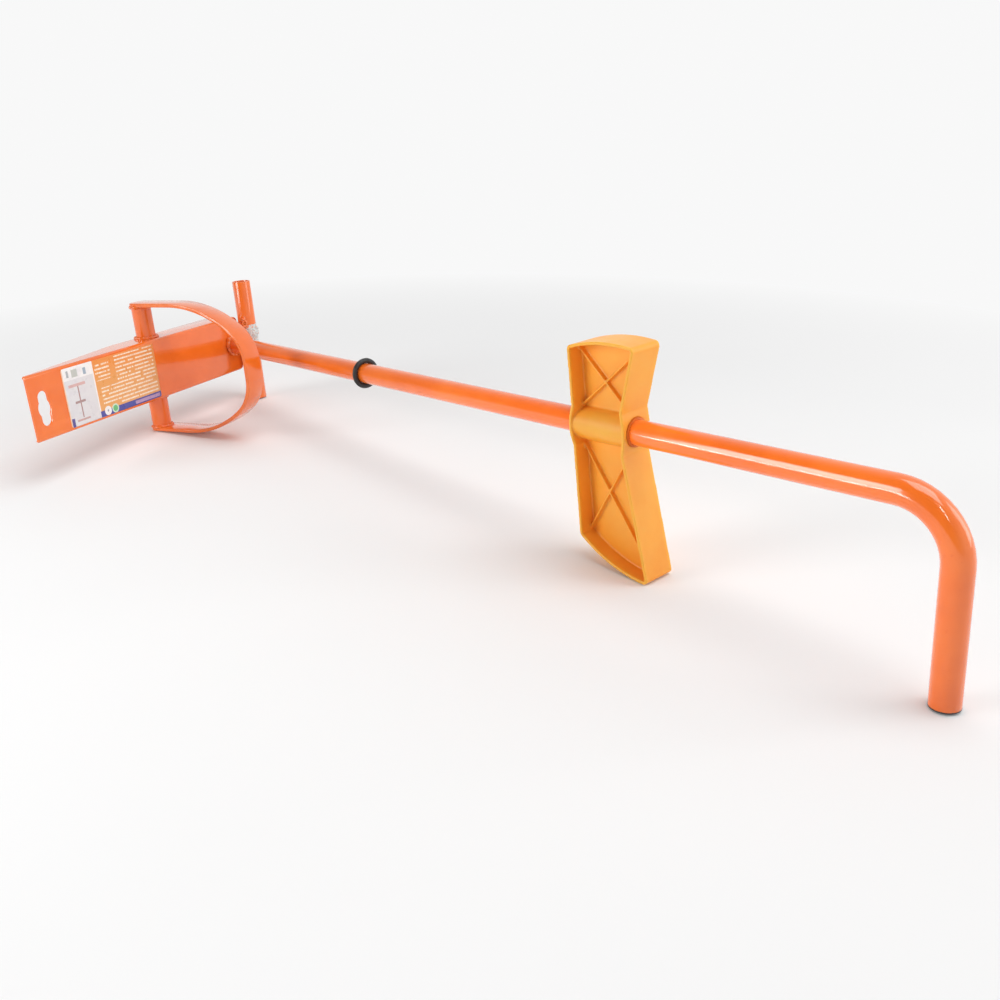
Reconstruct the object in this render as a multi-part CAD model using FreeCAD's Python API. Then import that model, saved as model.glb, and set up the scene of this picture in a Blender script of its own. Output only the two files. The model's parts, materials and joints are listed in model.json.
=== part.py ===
import FreeCAD, Part
import math
import os

from FreeCAD import Placement, Rotation, Vector

# Long steel lifting bar with a channel blade and a foot bow at one end, a bent grip at the
# other, and a loose plastic wing that slides and turns on the bar above a rubber stop ring.
#
# Bar frame, in millimetres: X runs up the bar axis from its foot to the grip, Z is up, and
# the grip leg hangs along -Z. Blade frame: the bar frame turned about Z, so that its X runs
# from the heel to the tip of the blade and its Y is the outward normal of the blade's face.
# At the very end everything is laid down on the floor, on the grip, the heel and the bow.

# Bar
BAR_RADIUS = 10.65
TUBE_WALL = 1.5
BAR_LENGTH = 940.0
BEND_RADIUS = 43.0
GRIP_DROP = 140.2
PLUG_RIM = 1.2
PLUG_EDGE = 0.6
PLUG_STEM = 14.0
PLUG_WALL = 2.0

# Blade: a U-channel folded from sheet, with its open side turned away from the grip
BLADE_ANGLE = 65.0
BLADE_TIP = 325.0
BLADE_HEEL = 12.5
BLADE_HALF_WIDTH = 34.4
SHEET = 2.5
FOLD_RADIUS = 3.0
FLANGE_DEPTH = 30.5
FLANGE_FULL_UNTIL = 176.0
FLANGE_TIP_DEPTH = 3.6
HEEL_CORNER = 8.0
TIP_CORNER = 2.5

# Hang slot near the tip, wider in the middle
SLOT_CENTRE = 308.4
SLOT_HEIGHT = -2.0
SLOT_LENGTH = 36.4
SLOT_WIDTH = 12.8
SLOT_BULGE_WIDTH = 17.0
SLOT_BULGE_RADIUS = 12.0

# Label on the blade's face
LABEL_START = 143.0
LABEL_LENGTH = 137.0
LABEL_HALF_WIDTH = 31.2
LABEL_THICKNESS = 0.3
LABEL_CORNER = 1.0

# Heel tube and the two posts that carry the bow
CROSS_RADIUS = 11.0
HEEL_TUBE_AHEAD = 2.0
HEEL_TUBE_TOP = 77.0
POST_ALONG = 129.0
POST_BEHIND = 20.0

# Foot bow: flat strap bent over the blade, welded on the outer ends of the posts
BOW_REACH = 75.2
BOW_THICKNESS = 4.0
BOW_WIDTH = 26.5
BOW_ALONG = 127.5
BOW_APEX = 126.0
BOW_TAIL = 30.5
BOW_CORNER = 9.0
BOW_WIDE_RADIUS = 125.0
BOW_TIGHT_RADIUS = 48.0
BOW_WIDE_TURN = 38.0

# Stop ring
RING_ALONG = 297.5
RING_CORD = 5.5

# Running fit of the ring, the sleeve and the wing
RUNNING_GAP = 0.05

# Wing: an H-section moulding with a short upper arm and a long lower arm
WING_ALONG = 656.0
WING_TURN = 1.2
WING_DEPTH = 32.2
WING_WALL = 2.6
WING_WEB = 2.6
WING_RIB = 1.8
WING_RIB_HEIGHT = 4.0
WING_BOSS_RADIUS = 14.3
WING_CORNER = 4.0
SLEEVE_WALL = 1.4
SLEEVE_LIP = 0.6

# Outline of the wing about the bar axis: X along the bar, Y up
WING_TOP_LEFT = (-35.6, 67.0)
WING_TOP_MIDDLE = (2.0, 73.5)
WING_TOP_RIGHT = (35.6, 71.5)
WING_BOTTOM_RIGHT = (42.2, -123.7)
WING_BOTTOM_MIDDLE = (4.8, -116.8)
WING_BOTTOM_LEFT = (-32.2, -96.6)
WING_RIGHT_WAIST = (20.5, 18.0)
WING_RIGHT_BULGE = 22.3
WING_LEFT_WALL = -34.2
WING_LEFT_BULGE = -38.0
WING_WAIST_HALF = 17.0

# Weld beads: the leg of a fillet, how far its face bulges as a share of the leg, and the
# rounds at the heel
BEAD = 3.0
BEAD_BULGE = 0.6
HEEL_SPOT_RADIUS = 7.5
HEEL_SEAM_RADIUS = 3.6
HEEL_SEAM_SHIFT = 1.5

# Tolerances for finding edges, in millimetres and as the cosine of an angle
NEAR_FACE = 0.1
NEAR_CORNER = 0.5
PARALLEL = 0.99

Z_AXIS = Vector(0, 0, 1)
OUTER_SPAN = 400.0
BLADE_FRAME = Placement(Vector(0, 0, 0), Rotation(Z_AXIS, -BLADE_ANGLE))


def in_blade_frame(shape):
    """Return a shape, drawn in the blade frame, placed in the bar frame."""
    return shape.transformed(BLADE_FRAME.toMatrix(), True)


def blade_point(along, ahead, height):
    """Return a point of the blade frame in the bar frame."""
    return BLADE_FRAME.multVec(Vector(along, ahead, height))


def cylinder(radius, start, direction, length):
    return Part.makeCylinder(radius, length, start, direction)


def box(low, high):
    size = high - low
    return Part.makeBox(size.x, size.y, size.z, low)


def rounded_box(low, high, radius, direction):
    """Return a box whose four edges along one direction are rounded."""
    block = box(low, high)
    edges = [edge for edge in block.Edges if abs(edge.tangentAt(0).dot(direction)) > PARALLEL]
    return block.makeFillet(radius, edges)


def arc_edge(start, middle, end):
    return Part.Arc(start, middle, end).toShape()


# Bar and grip

def bent_rod(radius, foot, drop):
    """Return the solid of the bent bar at one radius, from the foot to the grip's end."""
    corner = BAR_LENGTH - BEND_RADIUS
    straight = cylinder(radius, Vector(foot, 0, 0), Vector(1, 0, 0), corner - foot)
    section = Part.Face(Part.Wire(Part.makeCircle(radius, Vector(corner, 0, 0), Vector(1, 0, 0))))
    bend = section.revolve(Vector(corner, 0, -BEND_RADIUS), Vector(0, 1, 0), 90)
    leg = cylinder(radius, Vector(BAR_LENGTH, 0, -BEND_RADIUS), Vector(0, 0, -1), drop - BEND_RADIUS)
    return straight.fuse([bend, leg])


def ahead_of_blade():
    """Return the half space in front of the blade's face, as a large block."""
    low = Vector(-OUTER_SPAN, 0, -OUTER_SPAN)
    high = Vector(OUTER_SPAN, 3 * OUTER_SPAN, OUTER_SPAN)
    return in_blade_frame(box(low, high))


def make_bar():
    foot = -2 * BAR_RADIUS
    outside = bent_rod(BAR_RADIUS, foot, GRIP_DROP)
    inside = bent_rod(BAR_RADIUS - TUBE_WALL, foot - 1, GRIP_DROP + 1)
    tube = outside.cut(inside)
    behind = in_blade_frame(box(Vector(-OUTER_SPAN, -OUTER_SPAN, -OUTER_SPAN),
                                Vector(OUTER_SPAN, 0, OUTER_SPAN)))
    return tube.cut(behind).removeSplitter()


def make_handle_plug():
    """Return the grip's end plug: a rounded rim over the tube's end and a hollow stem in it."""
    stem_radius = BAR_RADIUS - TUBE_WALL - RUNNING_GAP
    rim = cylinder(BAR_RADIUS, Vector(0, 0, -PLUG_RIM), Z_AXIS, PLUG_RIM)
    lower_edge = min(rim.Edges, key=lambda edge: edge.CenterOfMass.z)
    rim = rim.makeFillet(PLUG_EDGE, [lower_edge])
    stem = cylinder(stem_radius, Vector(0, 0, 0), Z_AXIS, PLUG_STEM)
    hollow = cylinder(stem_radius - PLUG_WALL, Vector(0, 0, 0), Z_AXIS, PLUG_STEM)
    plug = rim.fuse(stem.cut(hollow)).removeSplitter()
    plug.translate(Vector(BAR_LENGTH, 0, -GRIP_DROP))
    return plug


# Blade

def channel_section(half_width, depth, radius):
    """Return a U-shaped outline, open to the back, as the block that it encloses."""
    low = Vector(-BLADE_HEEL, -depth, -half_width)
    high = Vector(BLADE_TIP, 0, half_width)
    block = box(low, high)
    front = [edge for edge in block.Edges
             if edge.Length > BLADE_TIP and edge.CenterOfMass.y > -NEAR_FACE]
    return block.makeFillet(radius, front)


def flange_taper():
    """Return the block that cuts the flanges down towards the tip of the blade."""
    outline = [Vector(FLANGE_FULL_UNTIL, -FLANGE_DEPTH, 0), Vector(BLADE_TIP, -FLANGE_TIP_DEPTH, 0),
               Vector(BLADE_TIP + 1, -FLANGE_TIP_DEPTH, 0), Vector(BLADE_TIP + 1, -OUTER_SPAN, 0),
               Vector(FLANGE_FULL_UNTIL, -OUTER_SPAN, 0)]
    face = Part.Face(Part.makePolygon(outline + outline[:1]))
    face.translate(Vector(0, 0, -BLADE_HALF_WIDTH - 1))
    return face.extrude(Vector(0, 0, 2 * BLADE_HALF_WIDTH + 2))


def corner_cutter(corner, inward_x, inward_z, radius):
    """Return what a rounded corner of the blade removes, all the way through it."""
    centre = Vector(corner.x + inward_x * radius, 0, corner.z + inward_z * radius)
    low = Vector(min(corner.x, centre.x), -OUTER_SPAN, min(corner.z, centre.z))
    high = Vector(max(corner.x, centre.x), OUTER_SPAN, max(corner.z, centre.z))
    start = Vector(centre.x, -OUTER_SPAN, centre.z)
    return box(low, high).cut(cylinder(radius, start, Vector(0, 1, 0), 2 * OUTER_SPAN))


def hang_slot():
    half = (SLOT_LENGTH - SLOT_WIDTH) / 2
    radius = SLOT_WIDTH / 2
    back = -2 * SHEET
    through = 3 * SHEET
    middle = box(Vector(SLOT_CENTRE - radius, back, SLOT_HEIGHT - half),
                 Vector(SLOT_CENTRE + radius, back + through, SLOT_HEIGHT + half))
    starts = [Vector(SLOT_CENTRE, back, SLOT_HEIGHT + side * half) for side in (-1, 1)]
    ends = [cylinder(radius, start, Vector(0, 1, 0), through) for start in starts]
    shift = SLOT_BULGE_RADIUS - SLOT_BULGE_WIDTH / 2
    sides = [cylinder(SLOT_BULGE_RADIUS, Vector(SLOT_CENTRE + side * shift, back, SLOT_HEIGHT),
                      Vector(0, 1, 0), through) for side in (-1, 1)]
    return middle.fuse(ends + [sides[0].common(sides[1])])


def make_blade():
    outside = channel_section(BLADE_HALF_WIDTH, FLANGE_DEPTH, FOLD_RADIUS)
    inside = channel_section(BLADE_HALF_WIDTH - SHEET, FLANGE_DEPTH, FOLD_RADIUS - SHEET)
    inside.translate(Vector(0, -SHEET, 0))
    longer = inside.copy()
    longer.translate(Vector(SHEET, 0, 0))
    inside.translate(Vector(-SHEET, 0, 0))
    channel = outside.cut([inside, longer, flange_taper(), hang_slot()])
    for side in (-1, 1):
        heel = Vector(-BLADE_HEEL, 0, side * BLADE_HALF_WIDTH)
        tip = Vector(BLADE_TIP, 0, side * BLADE_HALF_WIDTH)
        channel = channel.cut(corner_cutter(heel, 1, -side, HEEL_CORNER))
        channel = channel.cut(corner_cutter(tip, -1, -side, TIP_CORNER))
    return in_blade_frame(channel.removeSplitter())


def make_label():
    low = Vector(LABEL_START, 0, -LABEL_HALF_WIDTH)
    high = Vector(LABEL_START + LABEL_LENGTH, LABEL_THICKNESS, LABEL_HALF_WIDTH)
    return in_blade_frame(rounded_box(low, high, LABEL_CORNER, Vector(0, 1, 0)))


# Heel tube, posts and foot bow

def heel_axis():
    """Return where the heel tube's axis crosses the bar frame's XY plane, beside the foot."""
    return Vector(HEEL_TUBE_AHEAD, BAR_RADIUS + CROSS_RADIUS, 0)


def post_axis():
    return blade_point(POST_ALONG, -POST_BEHIND, 0)


def make_heel_tube():
    drop = heel_tube_drop()
    start = heel_axis() - Z_AXIS * drop
    outside = cylinder(CROSS_RADIUS, start, Z_AXIS, drop + HEEL_TUBE_TOP)
    inside = cylinder(CROSS_RADIUS - TUBE_WALL, start, Z_AXIS, drop + HEEL_TUBE_TOP)
    return outside.cut(inside)


def make_post(side):
    """Return one post, from the outside of a flange to the inside of the bow."""
    length = BOW_REACH - BOW_THICKNESS - BLADE_HALF_WIDTH
    start = post_axis() + Z_AXIS * side * BLADE_HALF_WIDTH
    outside = cylinder(CROSS_RADIUS, start, Z_AXIS * side, length)
    inside = cylinder(CROSS_RADIUS - TUBE_WALL, start, Z_AXIS * side, length)
    return outside.cut(inside)


def bow_corner(side, offset, forwards):
    """Return one corner of the bow as two tangent arcs, at an offset from its middle line."""
    turn = math.radians(BOW_WIDE_TURN)
    wide = BOW_WIDE_RADIUS + offset
    tight = BOW_TIGHT_RADIUS + offset
    reach = BOW_REACH - BOW_THICKNESS / 2
    difference = BOW_WIDE_RADIUS - BOW_TIGHT_RADIUS
    tight_y = BOW_APEX - BOW_THICKNESS / 2 - BOW_TIGHT_RADIUS
    wide_y = tight_y - difference * math.sin(turn)
    wide_z = reach - BOW_WIDE_RADIUS
    tight_z = wide_z + difference * math.cos(turn)

    def at(centre_y, centre_z, radius, angle):
        return Vector(0, centre_y + radius * math.sin(angle),
                      side * (centre_z + radius * math.cos(angle)))

    right = math.pi / 2
    first = [at(wide_y, wide_z, wide, angle) for angle in (0, turn / 2, turn)]
    second = [at(tight_y, tight_z, tight, angle) for angle in (turn, (turn + right) / 2, right)]
    if forwards:
        return [first, second]
    return [second[::-1], first[::-1]]


def bow_line(offset):
    """Return the edges of the bow's side view, at an offset from its middle line."""
    upper = bow_corner(1, offset, True)
    lower = bow_corner(-1, offset, False)
    tail = Vector(0, -BOW_TAIL, upper[0][0].z)
    end = Vector(0, -BOW_TAIL, -tail.z)
    edges = [Part.makeLine(tail, upper[0][0])]
    edges += [arc_edge(*points) for points in upper]
    edges.append(Part.makeLine(upper[1][2], lower[0][0]))
    edges += [arc_edge(*points) for points in lower]
    edges.append(Part.makeLine(lower[1][2], end))
    return tail, edges, end


def make_bow():
    half = BOW_THICKNESS / 2
    outer_tail, outer, outer_end = bow_line(half)
    inner_tail, inner, inner_end = bow_line(-half)
    closing = [Part.makeLine(outer_tail, inner_tail), Part.makeLine(outer_end, inner_end)]
    wire = Part.Wire(Part.__sortEdges__(outer + inner + closing))
    strap = Part.Face(wire).extrude(Vector(BOW_WIDTH, 0, 0))
    strap.translate(Vector(BOW_ALONG - BOW_WIDTH / 2, 0, 0))
    ends = [edge for edge in strap.Edges
            if edge.CenterOfMass.y < NEAR_FACE - BOW_TAIL and edge.Length < BOW_THICKNESS + NEAR_FACE]
    return in_blade_frame(strap.makeFillet(BOW_CORNER, ends))


# Weld beads

def fillet_ring(radius, base, direction):
    """Return a weld bead round a tube, rising from a flat face along the direction."""
    points = [Vector(radius, 0, 0), Vector(radius + BEAD, 0, 0), Vector(radius, 0, BEAD)]
    bulge = Vector(radius + BEAD_BULGE * BEAD, 0, BEAD_BULGE * BEAD)
    edges = [Part.makeLine(points[0], points[1]), arc_edge(points[1], bulge, points[2]),
             Part.makeLine(points[2], points[0])]
    ring = Part.Face(Part.Wire(edges)).revolve(Vector(0, 0, 0), Z_AXIS, 360)
    return ring.transformed(Placement(base, Rotation(Z_AXIS, direction)).toMatrix(), True)


def make_post_weld(side):
    return fillet_ring(CROSS_RADIUS, post_axis() + Z_AXIS * side * BLADE_HALF_WIDTH, Z_AXIS * side)


def make_bow_weld(side):
    base = post_axis() + Z_AXIS * side * (BOW_REACH - BOW_THICKNESS)
    strap_space = box(Vector(BOW_ALONG - BOW_WIDTH / 2, -BOW_TAIL, -OUTER_SPAN),
                      Vector(BOW_ALONG + BOW_WIDTH / 2, OUTER_SPAN, OUTER_SPAN))
    return fillet_ring(CROSS_RADIUS, base, Z_AXIS * -side).common(in_blade_frame(strap_space))


def heel_rod():
    start = heel_axis() - Z_AXIS * OUTER_SPAN
    return cylinder(CROSS_RADIUS, start, Z_AXIS, 2 * OUTER_SPAN)


def bar_rod():
    return cylinder(BAR_RADIUS, Vector(-OUTER_SPAN, 0, 0), Vector(1, 0, 0), 2 * OUTER_SPAN)


def make_foot_weld():
    """Return the bead round the bar's slanting foot, on the face of the blade."""
    collar = cylinder(BAR_RADIUS + BEAD, Vector(-OUTER_SPAN, 0, 0), Vector(1, 0, 0), 2 * OUTER_SPAN)
    on_face = box(Vector(-BLADE_HEEL, 0, -OUTER_SPAN), Vector(OUTER_SPAN, BEAD, OUTER_SPAN))
    return collar.common(in_blade_frame(on_face)).cut([bar_rod(), heel_rod()])


def make_heel_bar_weld(foot_weld):
    """Return the bead that fills the gap round the point where heel tube and bar touch."""
    blob = Part.makeSphere(HEEL_SPOT_RADIUS, Vector(0, BAR_RADIUS, 0))
    return blob.common(ahead_of_blade()).cut([bar_rod(), heel_rod(), foot_weld])


def make_heel_blade_weld(blade, other_welds):
    """Return the upright bead between the heel tube and the end of the blade."""
    half = BLADE_HALF_WIDTH - HEEL_CORNER
    start = blade_point(-BLADE_HEEL - HEEL_SEAM_SHIFT, -HEEL_SEAM_SHIFT, -half)
    bead = cylinder(HEEL_SEAM_RADIUS, start, Z_AXIS, 2 * half)
    return bead.cut([heel_rod(), bar_rod(), blade] + other_welds)


# Stop ring, sleeve and wing

def make_stop_ring():
    major = BAR_RADIUS + RUNNING_GAP + RING_CORD / 2
    return Part.makeTorus(major, RING_CORD / 2, Vector(RING_ALONG, 0, 0), Vector(1, 0, 0))


def make_wing_sleeve():
    start = Vector(WING_ALONG + WING_LEFT_BULGE - SLEEVE_LIP, 0, 0)
    length = WING_RIGHT_BULGE - WING_LEFT_BULGE + 2 * SLEEVE_LIP
    inner = BAR_RADIUS + RUNNING_GAP
    outside = cylinder(inner + SLEEVE_WALL, start, Vector(1, 0, 0), length)
    return outside.cut(cylinder(inner, start, Vector(1, 0, 0), length))


def wing_outline():
    """Return the wing's outline as a face in the XY plane, with its corners rounded."""
    def at(pair):
        return Vector(pair[0], pair[1], 0)

    left_top = Vector(WING_LEFT_WALL, WING_WAIST_HALF, 0)
    left_low = Vector(WING_LEFT_WALL, -WING_WAIST_HALF, 0)
    left_bulge = Vector(WING_LEFT_BULGE, 0, 0)
    right_top = at(WING_RIGHT_WAIST)
    right_low = Vector(WING_RIGHT_WAIST[0], -WING_WAIST_HALF, 0)
    right_bulge = Vector(WING_RIGHT_BULGE, 0, 0)
    edges = [arc_edge(at(WING_TOP_LEFT), at(WING_TOP_MIDDLE), at(WING_TOP_RIGHT)),
             Part.makeLine(at(WING_TOP_RIGHT), right_top),
             arc_edge(right_top, right_bulge, right_low),
             Part.makeLine(right_low, at(WING_BOTTOM_RIGHT)),
             arc_edge(at(WING_BOTTOM_RIGHT), at(WING_BOTTOM_MIDDLE), at(WING_BOTTOM_LEFT)),
             Part.makeLine(at(WING_BOTTOM_LEFT), left_low),
             arc_edge(left_low, left_bulge, left_top),
             Part.makeLine(left_top, at(WING_TOP_LEFT))]
    return Part.Face(Part.Wire(edges))


def upright_edges_at(solid, corners):
    """Return the edges across the wing's depth that stand on the named corners."""
    found = []
    for edge in solid.Edges:
        if abs(edge.tangentAt(0).z) < PARALLEL:
            continue
        centre = edge.CenterOfMass
        if any(math.hypot(centre.x - x, centre.y - y) < NEAR_CORNER for x, y in corners):
            found.append(edge)
    return found


def wing_rib(start, end, low, height):
    """Return one straight rib between two points of the outline's plane."""
    run = Vector(end[0] - start[0], end[1] - start[1], 0)
    rib = Part.makeBox(run.Length, WING_RIB, height, Vector(0, -WING_RIB / 2, 0))
    turn = Rotation(Z_AXIS, math.degrees(math.atan2(run.y, run.x)))
    place = Placement(Vector(start[0], start[1], low), turn)
    return rib.transformed(place.toMatrix(), True)


def make_wing():
    """Return the wing, drawn in the XY plane about the bar axis and then stood on the bar."""
    corners = (WING_TOP_LEFT, WING_TOP_RIGHT, WING_BOTTOM_RIGHT, WING_BOTTOM_LEFT)
    outline = wing_outline()
    block = outline.extrude(Vector(0, 0, WING_DEPTH))
    block = block.makeFillet(WING_CORNER, upright_edges_at(block, corners))
    top_face = max(block.Faces, key=lambda face: face.CenterOfMass.z)
    core_face = top_face.makeOffset2D(-WING_WALL)
    pocket_depth = (WING_DEPTH - WING_WEB) / 2
    core_face.translate(Vector(0, 0, -WING_DEPTH))
    core = core_face.extrude(Vector(0, 0, WING_DEPTH))
    pocket_front = core_face.extrude(Vector(0, 0, pocket_depth))
    pocket_back = pocket_front.copy()
    pocket_back.translate(Vector(0, 0, pocket_depth + WING_WEB))

    half = WING_WAIST_HALF - WING_WALL
    waist_left = WING_LEFT_WALL
    waist_right = WING_RIGHT_WAIST[0]
    crosses = [(WING_TOP_LEFT, (waist_right, half)), ((waist_left, half), WING_TOP_RIGHT),
               (WING_BOTTOM_LEFT, (waist_right, -half)), ((waist_left, -half), WING_BOTTOM_RIGHT)]
    low = pocket_depth - WING_RIB_HEIGHT
    height = 2 * WING_RIB_HEIGHT + WING_WEB
    ribs = [wing_rib(start, end, low, height).common(core) for start, end in crosses]
    middle = WING_DEPTH / 2
    boss_start = Vector(WING_LEFT_BULGE, 0, middle)
    boss = cylinder(WING_BOSS_RADIUS, boss_start, Vector(1, 0, 0), WING_RIGHT_BULGE - WING_LEFT_BULGE)
    hull = block.cut([pocket_front, pocket_back]).fuse(ribs + [boss.common(core)])
    bore_radius = BAR_RADIUS + SLEEVE_WALL + 2 * RUNNING_GAP
    bore = cylinder(bore_radius, boss_start - Vector(SHEET, 0, 0), Vector(1, 0, 0), OUTER_SPAN)
    wing = hull.cut(bore).removeSplitter()
    wing.translate(Vector(0, 0, -middle))
    upright = Placement(Vector(WING_ALONG, 0, 0), Rotation(Vector(1, 0, 0), 90 + WING_TURN))
    return wing.transformed(upright.toMatrix(), True)


# Rest on the floor

def lowest_bow_corner():
    """Return the point of the bow's rounded corner that touches the floor."""
    centre_along = BOW_ALONG - BOW_WIDTH / 2 + BOW_CORNER
    centre = blade_point(centre_along, -BOW_TAIL + BOW_CORNER, -BOW_REACH)
    return centre - Vector(BOW_CORNER, 0, 0)


def floor_slope():
    """Return how far the floor falls away below the bar for each millimetre towards the grip."""
    touch = lowest_bow_corner()
    grip_edge = BAR_LENGTH - BAR_RADIUS + PLUG_EDGE
    return (GRIP_DROP + PLUG_RIM + touch.z) / (grip_edge - touch.x)


def heel_tube_drop():
    """Return how far the heel tube reaches down, so that it meets the floor with the bow."""
    touch = lowest_bow_corner()
    heel_edge = heel_axis().x - CROSS_RADIUS
    return -touch.z - floor_slope() * (touch.x - heel_edge)


def lay_down(shapes):
    """Turn all shapes onto the floor, with the origin in the middle of their base."""
    pitch = math.degrees(math.atan(floor_slope()))
    turn = Placement(Vector(0, 0, 0), Rotation(Vector(0, 1, 0), -pitch))
    turned = {name: shape.transformed(turn.toMatrix(), True) for name, shape in shapes.items()}
    bounds = Part.makeCompound(list(turned.values())).optimalBoundingBox(False)
    shift = Vector(-bounds.Center.x, -bounds.Center.y, -bounds.ZMin)
    for shape in turned.values():
        shape.translate(shift)
    print("pitch %.4f degrees" % pitch)
    print("bar frame origin at %.4f %.4f %.4f" % (shift.x, shift.y, shift.z))
    return turned


def make_all():
    blade = make_blade()
    foot_weld = make_foot_weld()
    heel_bar_weld = make_heel_bar_weld(foot_weld)
    return {
        "bar_tube": make_bar(),
        "handle_plug": make_handle_plug(),
        "blade_channel": blade,
        "blade_label": make_label(),
        "heel_tube": make_heel_tube(),
        "post_upper": make_post(1),
        "post_lower": make_post(-1),
        "foot_bow": make_bow(),
        "bar_foot_weld": foot_weld,
        "heel_bar_weld": heel_bar_weld,
        "heel_blade_weld": make_heel_blade_weld(blade, [foot_weld, heel_bar_weld]),
        "post_upper_weld": make_post_weld(1),
        "post_lower_weld": make_post_weld(-1),
        "bow_upper_weld": make_bow_weld(1),
        "bow_lower_weld": make_bow_weld(-1),
        "stop_ring": make_stop_ring(),
        "wing_sleeve": make_wing_sleeve(),
        "wing_body": make_wing(),
    }


def main():
    os.makedirs("parts", exist_ok=True)
    for name, shape in lay_down(make_all()).items():
        shape.exportStep("parts/" + name + ".step")
        print("%-16s %2d solid %10.1f mm3 valid %s"
              % (name, len(shape.Solids), shape.Volume, shape.isValid()))


main()
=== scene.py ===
"""Foot-operated board lifting bar, lying on a pale studio floor.

Lengths are in metres and colours are linear RGB. The bar frame has X up the bar axis from its
foot to the grip and the grip leg along -Z. The blade frame is the bar frame turned about Z, with
X from the heel to the tip of the blade and Y along the outward normal of the blade's face.
"""

import json
import math

import bmesh
import bpy
from mathutils import Matrix, Vector, noise

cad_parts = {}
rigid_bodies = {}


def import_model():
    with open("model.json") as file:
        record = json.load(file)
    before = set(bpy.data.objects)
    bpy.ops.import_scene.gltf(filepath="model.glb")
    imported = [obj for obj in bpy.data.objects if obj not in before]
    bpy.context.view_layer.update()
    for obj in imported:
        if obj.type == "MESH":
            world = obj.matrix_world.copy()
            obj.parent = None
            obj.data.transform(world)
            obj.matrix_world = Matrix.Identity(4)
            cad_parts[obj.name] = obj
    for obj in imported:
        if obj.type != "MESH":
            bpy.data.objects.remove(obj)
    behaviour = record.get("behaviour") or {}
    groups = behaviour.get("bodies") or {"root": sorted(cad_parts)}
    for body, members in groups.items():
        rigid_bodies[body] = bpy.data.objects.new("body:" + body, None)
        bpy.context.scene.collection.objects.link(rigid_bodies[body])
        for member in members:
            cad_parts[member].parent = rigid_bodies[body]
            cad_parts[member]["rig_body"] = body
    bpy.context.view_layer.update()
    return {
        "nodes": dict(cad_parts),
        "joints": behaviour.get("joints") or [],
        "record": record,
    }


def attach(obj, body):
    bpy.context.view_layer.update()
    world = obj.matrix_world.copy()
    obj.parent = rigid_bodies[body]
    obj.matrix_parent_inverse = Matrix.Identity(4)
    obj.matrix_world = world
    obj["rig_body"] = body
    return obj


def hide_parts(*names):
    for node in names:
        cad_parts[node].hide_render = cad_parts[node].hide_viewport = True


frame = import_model()

NOISE_SEED = 7
noise.seed_set(NOISE_SEED)

MM = 0.001

# The bar, and what slides along it
BAR_RADIUS = 10.65 * MM
RING_ALONG = 297.5 * MM
RING_CORD = 5.5 * MM
RUNNING_GAP = 0.05 * MM
WING_ALONG = 656 * MM
WING_TURN = 1.2
WING_DEPTH = 32.2 * MM

# The blade, and what is welded to it
BLADE_ANGLE = 65
BLADE_HALF_WIDTH = 34.4 * MM
BLADE_HEEL = 12.5 * MM
FLANGE_DEPTH = 30.5 * MM
HEEL_CORNER = 8 * MM
CROSS_RADIUS = 11 * MM
HEEL_TUBE = Vector((2 * MM, BAR_RADIUS + CROSS_RADIUS, 0))
POST_ALONG = 129 * MM
POST_BEHIND = 20 * MM
BOW_INSIDE = 71.2 * MM
BOW_TAIL = 30.5 * MM

# The label's film
LABEL_START = 143 * MM
LABEL_LENGTH = 137 * MM
LABEL_HALF_WIDTH = 31.2 * MM
LABEL_THICKNESS = 0.3 * MM


# Frames, worked out from the wing's joint, whose axis is the bar's

turn_joint = next(j for j in frame["joints"] if j["name"] == "wing_turn")
bar_x = Vector(turn_joint["axis"]).normalized()
bar_y = Vector((0, 1, 0))
bar_z = bar_x.cross(bar_y)
bar_origin = Vector(turn_joint["pos_m"]) - WING_ALONG * bar_x
BAR = Matrix.Translation(bar_origin) @ Matrix((bar_x, bar_y, bar_z)).transposed().to_4x4()
BLADE = BAR @ Matrix.Rotation(math.radians(-BLADE_ANGLE), 4, "Z")
BLADE_TO_BAR = BAR.inverted() @ BLADE


# Camera, placed in the bar frame

CAMERA_AT = Vector((1.19245, -0.58104, 0.22815))
CAMERA_RIGHT = Vector((0.66164844, 0.74695423, -0.06542716))
CAMERA_UP = Vector((-0.21387152, 0.27163691, 0.93833489))
LENS = 36.262
SENSOR = 36.0
NEAR_CLIP = 0.01
FAR_CLIP = 100


def make_camera():
    data = bpy.data.cameras.new("camera")
    data.sensor_width = SENSOR
    data.lens = LENS
    data.clip_start = NEAR_CLIP
    data.clip_end = FAR_CLIP
    camera = bpy.data.objects.new("camera", data)
    back = CAMERA_RIGHT.cross(CAMERA_UP)
    turn = Matrix((CAMERA_RIGHT, CAMERA_UP, back)).transposed().to_4x4()
    camera.matrix_world = BAR @ Matrix.Translation(CAMERA_AT) @ turn
    bpy.context.scene.collection.objects.link(camera)
    bpy.context.scene.camera = camera


make_camera()


# Node trees

# Where a Mix node of colours has its share, its two colours and its result
MIX_INPUTS = (0, 6, 7)
MIX_RESULT = 2


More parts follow.
